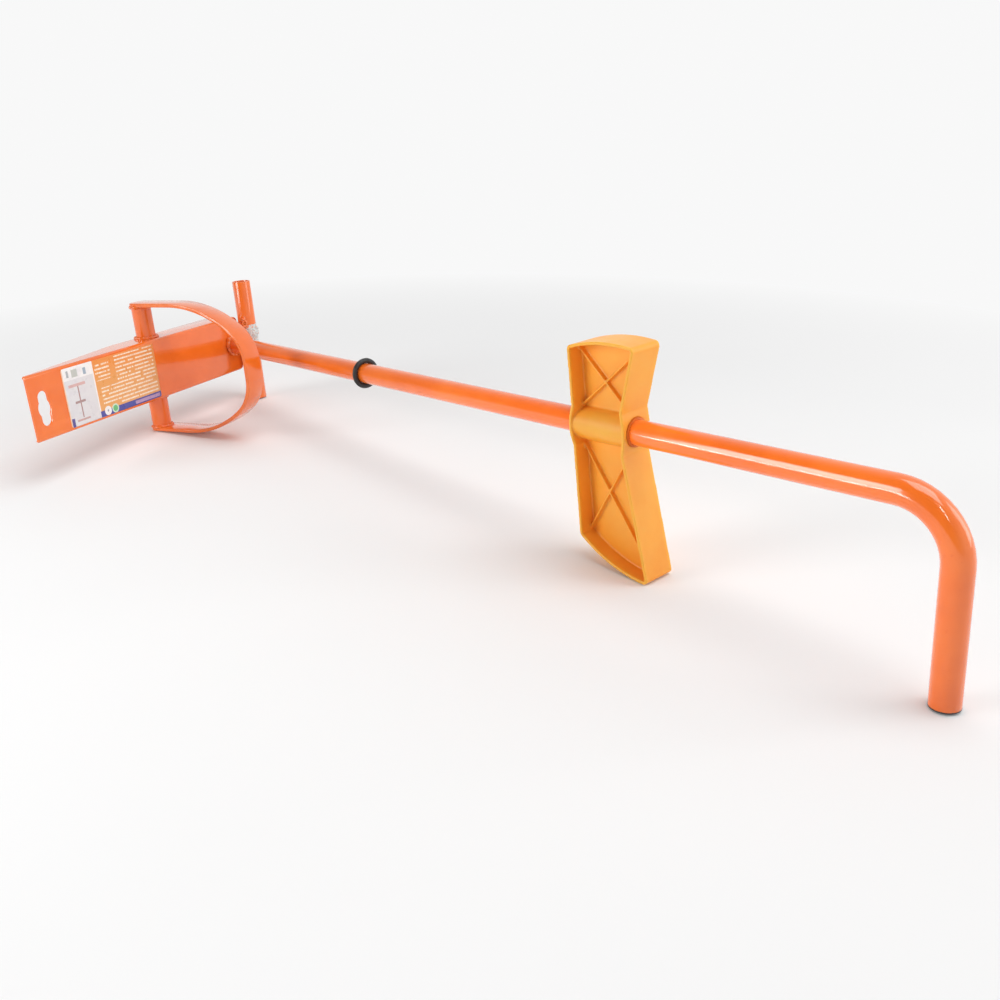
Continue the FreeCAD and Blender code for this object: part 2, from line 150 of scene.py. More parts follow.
class Tree:
    """Builds a node tree. A value that is a socket is linked, and any other is set."""

    def __init__(self, owner):
        owner.use_nodes = True
        self.tree = owner.node_tree
        self.tree.nodes.clear()

    def add(self, kind, inputs=None, **settings):
        node = self.tree.nodes.new("ShaderNode" + kind)
        for name, value in settings.items():
            setattr(node, name, value)
        for name, value in (inputs or {}).items():
            if isinstance(value, bpy.types.NodeSocket):
                self.tree.links.new(value, node.inputs[name])
            else:
                node.inputs[name].default_value = value
        return node

    def math(self, operation, *values, clamp=False):
        node = self.add("Math", dict(enumerate(values)), operation=operation, use_clamp=clamp)
        return node.outputs[0]

    def vector(self, operation, *vectors):
        return self.add("VectorMath", dict(enumerate(vectors)), operation=operation)

    def minus(self, point, origin):
        return self.vector("SUBTRACT", point, origin).outputs[0]

    def dot(self, point, direction):
        return self.vector("DOT_PRODUCT", point, direction).outputs["Value"]

    def noise(self, point, scale, detail, roughness):
        inputs = {"Vector": point, "Scale": scale, "Detail": detail, "Roughness": roughness}
        return self.add("TexNoise", inputs).outputs[0]

    def ramp(self, value, *stops):
        """Turn a value into a colour, by stops that each have a position and a colour."""
        node = self.add("ValToRGB", {0: value})
        ramp = node.color_ramp
        while len(ramp.elements) < len(stops):
            ramp.elements.new(0.5)
        for element, (position, colour) in zip(ramp.elements, stops):
            element.position = position
            element.color = (*colour, 1)
        return node.outputs[0]

    def greys(self, value, *stops):
        """Turn a value into a grey, by stops that each have a position and a level."""
        return self.ramp(value, *((position, (level,) * 3) for position, level in stops))

    def mix(self, share, first, second):
        inputs = {index: (*value, 1) if isinstance(value, tuple) else value
                  for index, value in zip(MIX_INPUTS, (share, first, second))}
        return self.add("Mix", inputs, data_type="RGBA").outputs[MIX_RESULT]

    def bump(self, height, distance, strength, under=None):
        inputs = {"Height": height, "Distance": distance, "Strength": strength}
        if under:
            inputs["Normal"] = under
        return self.add("Bump", inputs).outputs[0]

    def surface(self, **inputs):
        named = {name.replace("_", " "): value for name, value in inputs.items()}
        shader = self.add("BsdfPrincipled", named)
        self.add("OutputMaterial", {"Surface": shader.outputs[0]})


def new_tree(name):
    made = bpy.data.materials.new(name)
    tree = Tree(made)
    return made, tree, tree.add("TexCoord").outputs["Object"]


def paint(name, lumpy=False):
    """Glossy orange enamel: slight thick and thin patches, orange peel and fine dust pips."""
    made, tree, point = new_tree(name)
    patches = tree.noise(point, scale=14, detail=3, roughness=0.6)
    colour = tree.ramp(patches, (0.32, (0.80, 0.142, 0.012)), (0.5, (0.86, 0.163, 0.016)),
                       (0.7, (0.90, 0.195, 0.024)))
    thin = tree.noise(point, scale=160, detail=4, roughness=0.7)
    colour = tree.mix(tree.greys(thin, (0.62, 0), (0.8, 0.5)), colour, (0.74, 0.105, 0.009))
    cloud = tree.noise(point, scale=55, detail=4, roughness=0.65)
    rough = tree.greys(cloud, (0.3, 0.13), (0.75, 0.21))
    peel = tree.noise(point, scale=420, detail=2, roughness=0.5)
    normal = tree.bump(peel, distance=0.12 * MM, strength=0.35)
    pips = tree.noise(point, scale=900, detail=1, roughness=0.4)
    pips = tree.greys(pips, (0.70, 0), (0.78, 1))
    normal = tree.bump(pips, distance=0.08 * MM, strength=0.5, under=normal)
    if lumpy:
        lumps = tree.noise(point, scale=700, detail=3, roughness=0.6)
        normal = tree.bump(lumps, distance=0.4 * MM, strength=0.7, under=normal)
    tree.surface(Base_Color=colour, Roughness=rough, Normal=normal, Coat_Weight=0.7,
                 Coat_Roughness=0.06)
    return made


def amber_plastic():
    """Moulded amber plastic: cloudy colour, rims painted paler as painted light, a fine matt
    grain and a soft sheen.
    """
    made, tree, point = new_tree("amber_plastic")
    cloud = tree.noise(point, scale=18, detail=4, roughness=0.6)
    colour = tree.ramp(cloud, (0.3, (0.96, 0.355, 0.030)), (0.55, (1.0, 0.425, 0.045)),
                       (0.8, (1.0, 0.475, 0.062)))
    # Painted light: the plastic is painted paler and yellower near the wing's front and back
    # faces, as light glowing through its thin rims looks.
    turn = math.radians(WING_TURN)
    through = BAR.to_3x3() @ Vector((0, math.cos(turn), math.sin(turn)))
    depth = tree.dot(tree.minus(point, BAR.translation), through)
    depth = tree.math("ABSOLUTE", tree.math("DIVIDE", depth, WING_DEPTH / 2))
    rim = tree.greys(depth, (0.80, 0), (0.97, 0.75))
    colour = tree.mix(rim, colour, (1.0, 0.50, 0.055))
    sheen = tree.noise(point, scale=70, detail=4, roughness=0.6)
    rough = tree.greys(sheen, (0.3, 0.30), (0.7, 0.44))
    grain = tree.noise(point, scale=1500, detail=2, roughness=0.6)
    normal = tree.bump(grain, distance=0.06 * MM, strength=0.5)
    waves = tree.noise(point, scale=60, detail=2, roughness=0.5)
    normal = tree.bump(waves, distance=0.4 * MM, strength=0.35, under=normal)
    tree.surface(Base_Color=colour, Roughness=rough, Normal=normal,
                 Subsurface_Weight=0.1, Subsurface_Radius=(0.006, 0.0025, 0.0006),
                 Subsurface_Scale=1.0, Specular_IOR_Level=0.45)
    return made


def dark_moulding(name, dark, light, smoothest, roughest, grain_scale):
    """Plastic or rubber: faint mottling, a fine grain and uneven sheen."""
    made, tree, point = new_tree(name)
    mottling = tree.noise(point, scale=130, detail=4, roughness=0.65)
    colour = tree.ramp(mottling, (0.35, dark), (0.7, light))
    sheen = tree.noise(point, scale=240, detail=3, roughness=0.6)
    rough = tree.greys(sheen, (0.3, smoothest), (0.7, roughest))
    grain = tree.noise(point, scale=grain_scale, detail=3, roughness=0.6)
    normal = tree.bump(grain, distance=0.12 * MM, strength=0.5)
    tree.surface(Base_Color=colour, Roughness=rough, Normal=normal)
    return made


def bare_weld():
    """Bare, spattered weld metal with flecks of orange paint left on it, and near-white specks
    painted as glints.
    """
    made, tree, point = new_tree("bare_weld")
    flecks = tree.noise(point, scale=420, detail=3, roughness=0.7)
    flecks = tree.greys(flecks, (0.55, 0), (0.62, 1))
    # The metal runs from grey to near white: real spatter tone, with the near-white specks
    # standing in as painted glints.
    spatter_and_glints = tree.noise(point, scale=900, detail=3, roughness=0.7)
    metal = tree.ramp(spatter_and_glints, (0.3, (0.45, 0.46, 0.45)), (0.65, (0.92, 0.93, 0.92)))
    colour = tree.mix(flecks, metal, (0.88, 0.24, 0.06))
    sheen = tree.noise(point, scale=600, detail=2, roughness=0.6)
    rough = tree.greys(sheen, (0.3, 0.22), (0.7, 0.5))
    lumps = tree.noise(point, scale=520, detail=3, roughness=0.7)
    normal = tree.bump(lumps, distance=1.2 * MM, strength=1.0)
    metallic = tree.math("SUBTRACT", 0.5, tree.math("MULTIPLY", flecks, 0.5))
    tree.surface(Base_Color=colour, Roughness=rough, Metallic=metallic, Normal=normal)
    return made


# Print on the label, in millimetres: along from its root end, and up from its middle line.
# A patch is left, right, low and high, and a mark is along, up and radius. Each may have its ink.

# Half the height over which the ground's painted reflection of the floor fades out
REFLECTION_HALF = 32
LINE_PITCH = 4.2
LINE_HEIGHT = 1.7
LINES_FROM = -60
LINE_RAGGED = 1.1
LINE_SHIFT = 7.3
WORD_SCALE = 0.14
WORD_GAPS = 0.40
SPECK_SCALE = 1.1
COPY_COVER = 0.95
COPY_INK = (0.95, 0.88, 0.74)
COPY_COLUMNS = ((3, 62, -23, 29.5), (71, 92, 8, 27), (62, 88, -20, 0))
PANEL = (95, 137, -31.2, 31.2)
PANEL_INK = (0.72, 0.71, 0.72)
PANEL_SHADE_INK = (0.62, 0.60, 0.64)
PANEL_TOP = (95, 137, 18, 31.2)
PANEL_TOP_INK = (0.86, 0.85, 0.84)
PICTURE = ((118, 119.6, -24, 12, (0.42, 0.25, 0.24)),
           (108, 131, 10, 13, (0.66, 0.42, 0.40)),
           (112, 126, -8, -5.5, (0.40, 0.27, 0.26)),
           (110, 128, -27, -25, (0.55, 0.36, 0.34)),
           (104, 108, 20, 27, (0.34, 0.42, 0.50)),
           (116, 124, 20, 28, (0.52, 0.54, 0.50)),
           (128, 131, 21, 28, (0.40, 0.43, 0.45)),
           (135.6, 137, -31.2, 31.2, (0.93, 0.66, 0.46)),
           (131.5, 135.6, -31.2, -22, (0.11, 0.09, 0.30)),
           (94, 95.5, -31, 31, (0.90, 0.86, 0.82)))
BAND = (0, 95, -31.2, -24.5)
BAND_INK = (0.085, 0.095, 0.36)
BAND_INSET = (2, 42, -29.8, -26.2)
BAND_INSET_INK = (0.46, 0.30, 0.50)
MARKS = ((84, -26, 5.0, (0.86, 0.85, 0.84)), (73, -26, 5.0, (0.62, 0.78, 0.62)),
         (73, -26, 3.4, (0.16, 0.52, 0.22)), (84, -26, 1.2, (0.35, 0.38, 0.45)))


def label_print():
    """A printed film: rows of plain strokes, a picture panel, and a band with two round marks, on
    a ground with a painted reflection that is pinker towards the bottom.
    """
    made, tree, point = new_tree("label_print")
    local = tree.minus(point, BLADE @ Vector((LABEL_START, 0, 0)))

    def along(axis):
        return tree.math("DIVIDE", tree.dot(local, BLADE.to_3x3() @ Vector(axis)), MM)

    across, height = along((1, 0, 0)), along((0, 0, 1))

    def band(value, low, high):
        above = tree.math("GREATER_THAN", value, low)
        return tree.math("MULTIPLY", above, tree.math("LESS_THAN", value, high))

    def patch(left, right, low, high):
        return tree.math("MULTIPLY", band(across, left, right), band(height, low, high))

    def spot(centre, middle, radius):
        run = tree.math("SUBTRACT", across, centre)
        rise = tree.math("SUBTRACT", height, middle)
        run = tree.math("MULTIPLY", run, run)
        rise = tree.math("MULTIPLY", rise, rise)
        return tree.math("LESS_THAN", tree.math("ADD", run, rise), radius * radius)

    def strokes():
        """Where the copy has ink: ragged strokes in even lines, with gaps between words."""
        up = tree.math("ADD", height, -LINES_FROM)
        ragged = tree.noise(point, scale=900, detail=2, roughness=0.6)
        ragged = tree.math("MULTIPLY", ragged, LINE_RAGGED)
        ragged = tree.math("SUBTRACT", ragged, LINE_RAGGED / 2)
        into_line = tree.math("ADD", tree.math("MODULO", up, LINE_PITCH), ragged)
        stroke = tree.math("LESS_THAN", into_line, LINE_HEIGHT)
        line = tree.math("FLOOR", tree.math("DIVIDE", up, LINE_PITCH))
        at = {0: across, 1: tree.math("MULTIPLY", line, LINE_SHIFT)}
        at = tree.add("CombineXYZ", at).outputs[0]
        words = tree.noise(at, scale=WORD_SCALE, detail=2, roughness=0.6)
        words = tree.math("GREATER_THAN", words, WORD_GAPS)
        specks = tree.noise(at, scale=SPECK_SCALE, detail=3, roughness=0.7)
        specks = tree.greys(specks, (0.38, 0.35), (0.55, 1))
        return tree.math("MULTIPLY", stroke, tree.math("MULTIPLY", words, specks))

    # Painted reflection: the ground is pinker towards the bottom, where the pale floor is
    # reflected, and deep orange towards the top.
    reflection_fade = tree.math("ADD", height, REFLECTION_HALF)
    reflection_fade = tree.math("DIVIDE", reflection_fade, 2 * REFLECTION_HALF, clamp=True)
    colour = tree.ramp(reflection_fade, (0.1, (0.80, 0.40, 0.15)), (0.6, (0.80, 0.36, 0.11)),
                       (1, (0.82, 0.28, 0.06)))
    copy = strokes()
    for column in COPY_COLUMNS:
        share = tree.math("MULTIPLY", tree.math("MULTIPLY", copy, patch(*column)), COPY_COVER)
        colour = tree.mix(share, colour, COPY_INK)
    colour = tree.mix(patch(*PANEL), colour, PANEL_INK)
    colour = tree.mix(patch(*PANEL_TOP), colour, PANEL_TOP_INK)
    shade = tree.noise(point, scale=90, detail=3, roughness=0.6)
    shade = tree.greys(shade, (0.45, 0), (0.7, 0.5))
    colour = tree.mix(tree.math("MULTIPLY", shade, patch(*PANEL)), colour, PANEL_SHADE_INK)
    for *edges, ink in PICTURE:
        colour = tree.mix(patch(*edges), colour, ink)
    colour = tree.mix(patch(*BAND), colour, BAND_INK)
    colour = tree.mix(patch(*BAND_INSET), colour, BAND_INSET_INK)
    for *mark, ink in MARKS:
        colour = tree.mix(spot(*mark), colour, ink)
    sheen = tree.noise(point, scale=120, detail=3, roughness=0.6)
    rough = tree.greys(sheen, (0.3, 0.24), (0.7, 0.38))
    waves = tree.noise(point, scale=45, detail=2, roughness=0.5)
    normal = tree.bump(waves, distance=0.6 * MM, strength=0.25)
    tree.surface(Base_Color=colour, Roughness=rough, Normal=normal)
    return made


PAINT = paint("orange_paint")
WELD_PAINT = paint("weld_paint", lumpy=True)
AMBER_WITH_RIM_LIGHT = amber_plastic()
BUSH = dark_moulding("bush_plastic", (0.72, 0.17, 0.02), (0.80, 0.22, 0.03),
                     smoothest=0.35, roughest=0.5, grain_scale=900)
PLUG = dark_moulding("plug_plastic", (0.018, 0.017, 0.018), (0.04, 0.038, 0.04),
                     smoothest=0.32, roughest=0.5, grain_scale=1300)
RUBBER = dark_moulding("ring_rubber", (0.014, 0.013, 0.014), (0.04, 0.036, 0.035),
                       smoothest=0.4, roughest=0.62, grain_scale=700)
BARE_WELD_AND_GLINTS = bare_weld()
LABEL_PRINT_AND_REFLECTION = label_print()


# Pieces

def place(name, mesh, material, body, slot, *nodes):
    """Add a piece, smoothly shaded, that rides on a body and stands for CAD nodes."""
    mesh.materials.clear()
    mesh.materials.append(material)
    for polygon in mesh.polygons:
        polygon.use_smooth = True
    piece = bpy.data.objects.new(name, mesh)
    bpy.context.scene.collection.objects.link(piece)
    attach(piece, body)
    if nodes:
        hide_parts(*nodes)
    return piece


def new_mesh(name, bm):
    """Move a surface that has been built into a new mesh."""
    mesh = bpy.data.meshes.new(name)
    bm.to_mesh(mesh)
    bm.free()
    return mesh


def outward_mesh(name, bm):
    """Move a surface into a new mesh, with its faces turned outward."""
    bmesh.ops.recalc_face_normals(bm, faces=bm.faces)
    return new_mesh(name, bm)


def full_turn(count):
    """Angles, evenly spread over one turn."""
    return [2 * math.pi * i / count for i in range(count)]


def join_rings(bm, rings):
    """Join each ring of vertices to the next one."""
    for first, second in zip(rings, rings[1:]):
        for k in range(len(first)):
            n = (k + 1) % len(first)
            bm.faces.new((first[k], first[n], second[n], second[k]))


def cover_grid(bm, grid):
    """Cover a grid of vertices with faces."""
    for line, after in zip(grid, grid[1:]):
        for j in range(len(line) - 1):
            bm.faces.new((line[j], after[j], after[j + 1], line[j + 1]))


def baked(piece):
    """Apply a piece's modifiers to its mesh."""
    bpy.context.view_layer.update()
    graph = bpy.context.evaluated_depsgraph_get()
    finished = bpy.data.meshes.new_from_object(piece.evaluated_get(graph))
    piece.modifiers.clear()
    piece.data = finished


# Pieces made from the CAD nodes

MERGE = 1e-6
FLAT = math.radians(0.4)
SHARP = math.radians(40)
BEVEL_STEPS = 3
SMOOTHING = 0.5


def cad_copy(node):
    """Return a node's mesh as one closed surface, with each flat face in one piece."""
    bm = bmesh.new()
    bm.from_mesh(frame["nodes"][node].data)
    bmesh.ops.remove_doubles(bm, verts=bm.verts, dist=MERGE)
    bmesh.ops.dissolve_limit(bm, angle_limit=FLAT, verts=bm.verts, edges=bm.edges)
    return new_mesh(node, bm)


def edged(node, name, width):
    """Stand for a sheet or tube node by its copy with softly rounded edges."""
    body = frame["nodes"][node]["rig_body"]
    piece = place(name, cad_copy(node), PAINT, body, "orange_paint", node)
    bevel = piece.modifiers.new("edges", "BEVEL")
    bevel.width = width
    bevel.segments = BEVEL_STEPS
    bevel.angle_limit = SHARP
    bevel.harden_normals = True
    baked(piece)


def moulded(node, name, voxel, rounds, keep, material, slot):
    """Stand for a moulded node by its copy with every edge and corner rounded."""
    body = frame["nodes"][node]["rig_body"]
    piece = place(name, cad_copy(node), material, body, slot, node)
    remesh = piece.modifiers.new("skin", "REMESH")
    remesh.mode = "VOXEL"
    remesh.voxel_size = voxel
    remesh.use_smooth_shade = True
    smooth = piece.modifiers.new("rounds", "SMOOTH")
    smooth.iterations = rounds
    smooth.factor = SMOOTHING
    fewer = piece.modifiers.new("fewer", "DECIMATE")
    fewer.ratio = keep
    baked(piece)


# Weld beads. Each has a size, and a path that stands a little out from what it joins. The beads
# around the posts also stop ahead of the rear edges of the flanges and of the bow's tails, and
# the bead at the bar's foot is moved ahead to stay clear of the back of the blade's web. The bead
# between the bar and the heel tube follows a saddle of its own radius.

POST_BEAD = 2.1 * MM
POST_BEAD_UP = 0.5 * MM
POST_BEAD_OUT = 0.6 * MM
POST_BEAD_AHEAD = 1.5 * MM
BOW_BEAD = 1.7 * MM
BOW_BEAD_DOWN = 0.5 * MM
BOW_BEAD_OUT = 0.3 * MM
BOW_BEAD_AHEAD = 2 * MM
FOOT_BEAD = 2.6 * MM
FOOT_BEAD_OUT = 0.9 * MM
FOOT_BEAD_AHEAD = 2.2 * MM
SADDLE_RADIUS = 6.4 * MM
SADDLE_BEAD = 2.3 * MM
HEEL_BEAD = 2.1 * MM
HEEL_BEAD_OUT = 0.9 * MM

BEAD_SIDES = 14
POST_BEAD_STEPS = 90
BAR_BEAD_STEPS = 80
SEAM_STEPS = 80
OFF_AXIS = Vector((0.31, 0.42, 0.85))

# A bead's radius at each point is a share of its size, plus what its ripples and chance add. An
# open bead starts and ends thin, and chance also moves each point.
RIPPLE = 2.34 * MM
LEAST_SHARE = 0.82
RIPPLE_SHARE = 0.28
CHANCE_SHARE = 0.5
MOVE_SHARE = 0.3
END_SHARE = 0.25
END_RISE = 6
CHANCE_SCALE = 260
MOVE_SCALE = 330


def tube(path, radii, closed):
    """Return the mesh of a round bar along a path, with its own radius at each point."""
    bm = bmesh.new()
    count = len(path)
    rings = []
    for i, (point, radius) in enumerate(zip(path, radii)):
        before = path[(i - 1) % count] if closed else path[max(i - 1, 0)]
        after = path[(i + 1) % count] if closed else path[min(i + 1, count - 1)]
        along = (after - before).normalized()
        side = along.cross(OFF_AXIS).normalized()
        up = side.cross(along)
        rings.append([bm.verts.new(point + radius * (math.cos(t) * side + math.sin(t) * up))
                      for t in full_turn(BEAD_SIDES)])
    join_rings(bm, rings + rings[:1] if closed else rings)
    if not closed:
        bm.faces.new(rings[0][::-1])
        bm.faces.new(rings[-1])
    return outward_mesh("tube", bm)


def bead(name, node, path, size, seed, closed=True):
    """A weld bead along a path: overlapping ripples, each a little off size and place."""
    radii, moved = [], []
    walked = 0.0
    for i, point in enumerate(path):
        walked += (point - path[i - 1]).length if i else 0.0
        wave = abs(math.sin(math.pi * walked / RIPPLE))
        chance = noise.noise(point * CHANCE_SCALE + Vector((seed, 0, 0)))
        share = LEAST_SHARE + RIPPLE_SHARE * wave + CHANCE_SHARE * chance
        from_end = min(i, len(path) - 1 - i) / len(path)
        end = 1.0 if closed else min(1.0, END_SHARE + END_RISE * from_end)
        radii.append(size * share * end)
        moved.append(point + MOVE_SHARE * size * noise.noise_vector(point * MOVE_SCALE))
    place(name, tube([BAR @ p for p in moved], radii, closed), WELD_PAINT,
          "welded_bar", "orange_paint", node)


def post_ring(height, radius, rear):
    """Points of a bead around a post that stops at the rear edge of what it is welded to."""
    centre = Vector((POST_ALONG, -POST_BEHIND, height))
    ring = [centre + Vector((radius * math.cos(t), radius * math.sin(t), 0))
            for t in full_turn(POST_BEAD_STEPS)]
    for point in ring:
        point.y = max(point.y, rear)
    return [BLADE_TO_BAR @ point for point in ring]


def make_welds():
    for word, side in (("upper", 1), ("lower", -1)):
        base = post_ring(side * (BLADE_HALF_WIDTH + POST_BEAD_UP), CROSS_RADIUS + POST_BEAD_OUT,
                         POST_BEAD_AHEAD - FLANGE_DEPTH)
        bead(f"post_{word}_bead", f"post_{word}_weld", base, POST_BEAD, seed=side)
        under = post_ring(side * (BOW_INSIDE - BOW_BEAD_DOWN), CROSS_RADIUS + BOW_BEAD_OUT,
                          BOW_BEAD_AHEAD - BOW_TAIL)
        bead(f"bow_{word}_bead", f"bow_{word}_weld", under, BOW_BEAD, seed=3 + side)

    foot = BAR_RADIUS + FOOT_BEAD_OUT
    lean = -1 / math.tan(math.radians(BLADE_ANGLE))
    turns = full_turn(BAR_BEAD_STEPS)
    path = [Vector((lean * foot * math.cos(t) + FOOT_BEAD_AHEAD, foot * math.cos(t),
                    foot * math.sin(t))) for t in turns]
    bead("bar_foot_bead", "bar_foot_weld", path, FOOT_BEAD, seed=7)

    path = []
    for t in turns:
        across, rise = SADDLE_RADIUS * math.cos(t), SADDLE_RADIUS * math.sin(t)
        bar_side = math.sqrt(BAR_RADIUS ** 2 - rise ** 2)
        tube_side = HEEL_TUBE.y - math.sqrt(CROSS_RADIUS ** 2 - across ** 2)
        path.append(Vector((HEEL_TUBE.x + across, (bar_side + tube_side) / 2, rise)))
    bead("heel_bar_bead", "heel_bar_weld", path, SADDLE_BEAD, seed=11)

    half = BLADE_HALF_WIDTH - HEEL_CORNER
    seam = [BLADE_TO_BAR @ Vector((-BLADE_HEEL - HEEL_BEAD_OUT, -HEEL_BEAD_OUT,
                                   half * (2 * k / SEAM_STEPS - 1)))
            for k in range(SEAM_STEPS + 1)]
    bead("heel_blade_bead", "heel_blade_weld", seam, HEEL_BEAD, seed=13, closed=False)


# Rough patches on the heel tube

SHELL_STEPS = 26
SHELL_SINK = 0.15 * MM
SHELL_DEPTH = 0.4 * MM
RAGGED_RIM = 0.45
RAGGED_SCALE = 3
RIM_ROUNDNESS = 3
LUMP_SCALE = 420


def shell_on_heel(name, turns, heights, thickness, rough_share, seed, material):
    """A rough patch that lies on the heel tube, thin at its rim and lumpy inside."""

    def point(u, v):
        ragged = RAGGED_RIM * noise.noise(Vector((RAGGED_SCALE * u, RAGGED_SCALE * v,
                                                  seed + 0.5)))
        rim = min(1.0, math.hypot(2 * u - 1, 2 * v - 1) + ragged)
        turn = math.radians(turns[0] + (turns[1] - turns[0]) * u)
        rise = heights[0] + (heights[1] - heights[0]) * v
        where = Vector((math.cos(turn), math.sin(turn), 0)) * CROSS_RADIUS
        lump = abs(noise.noise((where + Vector((seed, 0, rise))) * LUMP_SCALE))
        lift = thickness * (1 - rim ** RIM_ROUNDNESS) * (1 - rough_share + rough_share * 2 * lump)
        where *= (CROSS_RADIUS + lift - SHELL_SINK) / CROSS_RADIUS
        return BAR @ (HEEL_TUBE + where + Vector((0, 0, rise)))

    bm = bmesh.new()
    shares = [i / SHELL_STEPS for i in range(SHELL_STEPS + 1)]
    cover_grid(bm, [[bm.verts.new(point(u, v)) for v in shares] for u in shares])
    piece = place(name, outward_mesh(name, bm), material, "welded_bar", "orange_paint")
    solid = piece.modifiers.new("depth", "SOLIDIFY")
    solid.thickness = SHELL_DEPTH
    baked(piece)


# The label's film: its grid, its corners, and faint waves on its front. Its back is sunk a
# little into the blade.

LABEL_COLUMNS = 120
LABEL_ROWS = 56
LABEL_CORNER = 2.5 * MM
LABEL_SINK = 0.02 * MM
FILM_WAVES = 0.05 * MM
FILM_WAVE_ROOM = 0.06 * MM
FILM_WAVE_SCALE = 60
FILM_WAVE_SEED = 3.1


def label_point(i, j, front):
    """Return the place of a grid point on the film's front or back."""
    along = LABEL_LENGTH * i / LABEL_COLUMNS
    up = LABEL_HALF_WIDTH * (2 * j / LABEL_ROWS - 1)
    over_x = max(LABEL_CORNER - along, along - LABEL_LENGTH + LABEL_CORNER, 0)
    over_z = max(abs(up) - LABEL_HALF_WIDTH + LABEL_CORNER, 0)
    reach = math.hypot(over_x, over_z)
    if reach > LABEL_CORNER:
        back = 1 - LABEL_CORNER / reach
        along += over_x * back * (1 if along < LABEL_CORNER else -1)
        up -= math.copysign(over_z * back, up)
    where = Vector((along * FILM_WAVE_SCALE, up * FILM_WAVE_SCALE, FILM_WAVE_SEED))
    wave = FILM_WAVES * noise.noise(where)
    height = LABEL_THICKNESS - FILM_WAVE_ROOM + wave if front else -LABEL_SINK
    return BLADE @ Vector((LABEL_START + along, height, up))


def make_label():
    """The label: a film with rounded corners that follows the blade."""
    columns, rows = LABEL_COLUMNS, LABEL_ROWS
    bm = bmesh.new()
    back, front = ([[bm.verts.new(label_point(i, j, side)) for j in range(rows + 1)]
                    for i in range(columns + 1)] for side in (False, True))
    cover_grid(bm, back)
    cover_grid(bm, front)
    rim = ([(i, 0) for i in range(columns)] + [(columns, j) for j in range(rows)]
           + [(i, rows) for i in range(columns, 0, -1)] + [(0, j) for j in range(rows, 0, -1)])
    for (a, b), (c, d) in zip(rim, rim[1:] + rim[:1]):
        bm.faces.new((back[a][b], back[c][d], front[c][d], front[a][b]))
    place("label_film", outward_mesh("label", bm), LABEL_PRINT_AND_REFLECTION, "welded_bar", "label_film",
          "blade_label")


# The stop ring's cord. Its section is a circle that is drawn in a little, to leave room for the
# moulding line and the waves outside, and that is filled again where it meets the bar.

RING_AROUND = 160
RING_SIDES = 40
MOULD_LINE_RISE = 0.12 * MM
MOULD_LINE_SHARPNESS = 60
RUBBER_WAVES = 0.04 * MM
RUBBER_SCALE = 0.11
CORD_DRAWN_IN = 0.16 * MM
BORE_FILL = 0.14 * MM
WAVES_FROM = -0.5
BORE_FROM = -0.9


def make_ring():
    """The stop ring: a rubber cord with a thin moulding line round its outside."""
    major = BAR_RADIUS + RUNNING_GAP + RING_CORD / 2
    bm = bmesh.new()
    rings = []
    for i, turn in enumerate(full_turn(RING_AROUND)):
        outward = Vector((0, math.cos(turn), math.sin(turn)))
        ring = []
        for t in full_turn(RING_SIDES):
            out, along = math.cos(t), math.sin(t)
            line = MOULD_LINE_RISE * max(0.0, out) ** MOULD_LINE_SHARPNESS
            wave = RUBBER_WAVES * noise.noise(Vector((i * RUBBER_SCALE, out, along)))
            radius = RING_CORD / 2 - CORD_DRAWN_IN + (line + wave) * (out > WAVES_FROM)
            radius += BORE_FILL * (out < BORE_FROM)
            spot = Vector((RING_ALONG, 0, 0)) + outward * (major + radius * out)
            ring.append(bm.verts.new(BAR @ (spot + Vector((radius * along, 0, 0)))))
        rings.append(ring)
    join_rings(bm, rings + rings[:1])
    place("stop_ring_rubber", outward_mesh("ring", bm), RUBBER, "stop_ring", "black_rubber",
          "stop_ring")


SLOT_MATERIALS = {"orange_paint": PAINT, "black_plastic": PLUG, "bush_plastic": BUSH,
                  "amber_plastic": AMBER_WITH_RIM_LIGHT, "black_rubber": RUBBER, "label_film": LABEL_PRINT_AND_REFLECTION}
for node in frame["nodes"].values():
    part = next(p for p in frame["record"]["subparts"] if p["node"] == node.name)
    node.data.materials.clear()
    node.data.materials.append(SLOT_MATERIALS[part["material_slot"]])

edged("blade_channel", "blade_sheet", width=0.5 * MM)
edged("foot_bow", "bow_strap", width=0.7 * MM)
edged("heel_tube", "heel_pipe", width=0.35 * MM)
moulded("wing_body", "wing_moulding", voxel=0.6 * MM, rounds=5, keep=0.35,
        material=AMBER_WITH_RIM_LIGHT, slot="amber_plastic")
make_welds()
shell_on_heel("bare_weld_patch", turns=(-52, 72), heights=(-1 * MM, 23 * MM),
              thickness=2.4 * MM, rough_share=0.8, seed=0.0, material=BARE_WELD_AND_GLINTS)
shell_on_heel("heel_spatter", turns=(-76, -18), heights=(18 * MM, 35 * MM),
              thickness=4.5 * MM, rough_share=0.9, seed=5.0, material=WELD_PAINT)
make_label()
make_ring()


# Stage. A light has a place, a target, a width, a length and a power in watts. The bar's lights
# are placed in the bar frame and shine only on the bar, as streaks on its enamel.

FLOOR_RADIUS = 9.0
FLOOR_STEPS = 128
NEAR_FLOOR = 0.45
FAR_FLOOR = 1.3
BACKGROUND = 0.94
DIM_SIDE = Vector((-0.1, -0.8, 0.5))
SKY_LIGHT = 0.88
DIM_LIGHT = 0.10
DIMMEST_AT = 0.75
SOFT_LIGHTS = {"overhead": ((0.5, 0.3, 1.9), (0, 0, 0.05), 1.3, 1.3, 17),
               "front_box": ((-0.6, -1.5, 0.6), (0, 0, 0.08), 0.8, 0.9, 16),
               "right_box": ((1.4, 1.2, 0.8), (0.2, 0, 0.08), 0.8, 1.2, 7)}
BAR_LIGHTS = {"strip": ((0.63, -0.34, -0.01), (0.82, 0, 0), 0.32, 0.016, 0.55),
              "glint": ((1.42, -0.38, 0.60), (0.94, 0, -0.03), 0.035, 0.30, 1.1)}


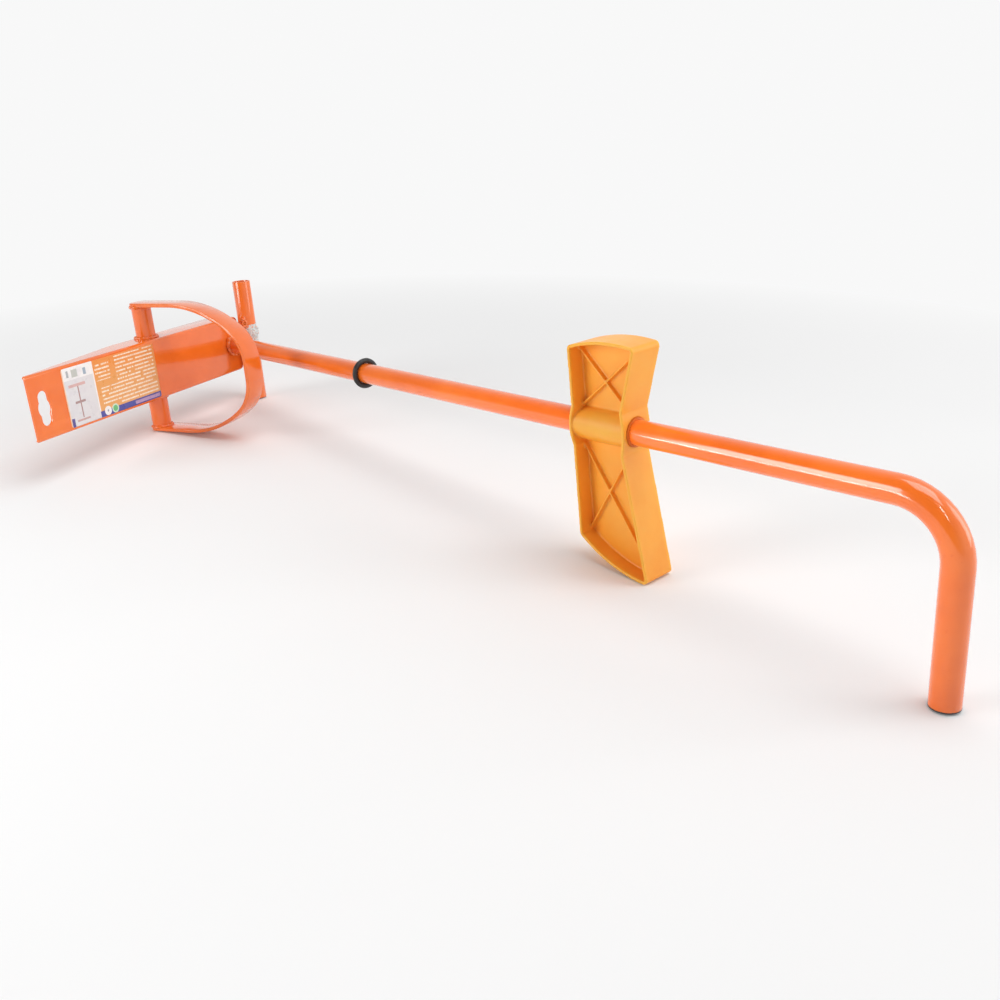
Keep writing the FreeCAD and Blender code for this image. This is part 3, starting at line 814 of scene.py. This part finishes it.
def floor_material():
    """A pale floor that turns into the background's even white far away."""
    made, tree, point = new_tree("studio_floor")
    cloud = tree.noise(point, scale=1.6, detail=2, roughness=0.5)
    colour = tree.greys(cloud, (0.3, 0.86), (0.7, 0.89))
    away = tree.vector("LENGTH", point).outputs["Value"]
    away = tree.math("DIVIDE", away, FLOOR_RADIUS)
    near, far = NEAR_FLOOR / FLOOR_RADIUS, FAR_FLOOR / FLOOR_RADIUS
    fade = tree.greys(away, (near, 0), (far, 1))
    glow = tree.greys(away, (near, 0), (far, BACKGROUND))
    tree.surface(Base_Color=tree.mix(fade, colour, (0, 0, 0)), Roughness=0.7,
                 Specular_IOR_Level=0.0, Emission_Color=(1, 1, 1, 1), Emission_Strength=glow)
    return made


def make_floor():
    bm = bmesh.new()
    bmesh.ops.create_circle(bm, cap_ends=True, segments=FLOOR_STEPS, radius=FLOOR_RADIUS)
    floor = bpy.data.objects.new("floor", new_mesh("floor", bm))
    floor.data.materials.append(floor_material())
    bpy.context.scene.collection.objects.link(floor)


def make_world():
    """An even pale background that lights the object less from one side."""
    world = bpy.data.worlds.new("studio")
    bpy.context.scene.world = world
    tree = Tree(world)
    direction = tree.add("TexCoord").outputs["Generated"]
    facing = tree.dot(direction, DIM_SIDE.normalized())
    light = tree.greys(facing, (0.0, SKY_LIGHT), (DIMMEST_AT, DIM_LIGHT))
    seen = tree.add("LightPath").outputs["Is Camera Ray"]
    sky = tree.add("Background", {"Color": tree.mix(seen, light, (BACKGROUND,) * 3)})
    tree.add("OutputWorld", {"Surface": sky.outputs[0]})
    bpy.context.scene.view_settings.view_transform = "Standard"


def area_light(name, at, target, width, length, watts, only=None):
    """Add a rectangular light that faces a target and lights everything, or only one piece."""
    data = bpy.data.lights.new(name, "AREA")
    data.shape = "RECTANGLE"
    data.size = width
    data.size_y = length
    data.energy = watts
    light = bpy.data.objects.new(name, data)
    light.location = at
    light.rotation_euler = (Vector(at) - Vector(target)).to_track_quat("Z", "Y").to_euler()
    light.visible_camera = False
    if only:
        lit = bpy.data.collections.new(name)
        lit.objects.link(only)
        light.light_linking.receiver_collection = lit
    bpy.context.scene.collection.objects.link(light)


make_floor()
make_world()
for name, (at, target, width, length, watts) in SOFT_LIGHTS.items():
    area_light(name, at, target, width, length, watts)
for name, (at, target, width, length, watts) in BAR_LIGHTS.items():
    area_light(name, BAR @ Vector(at), BAR @ Vector(target), width, length, watts,
               only=frame["nodes"]["bar_tube"])
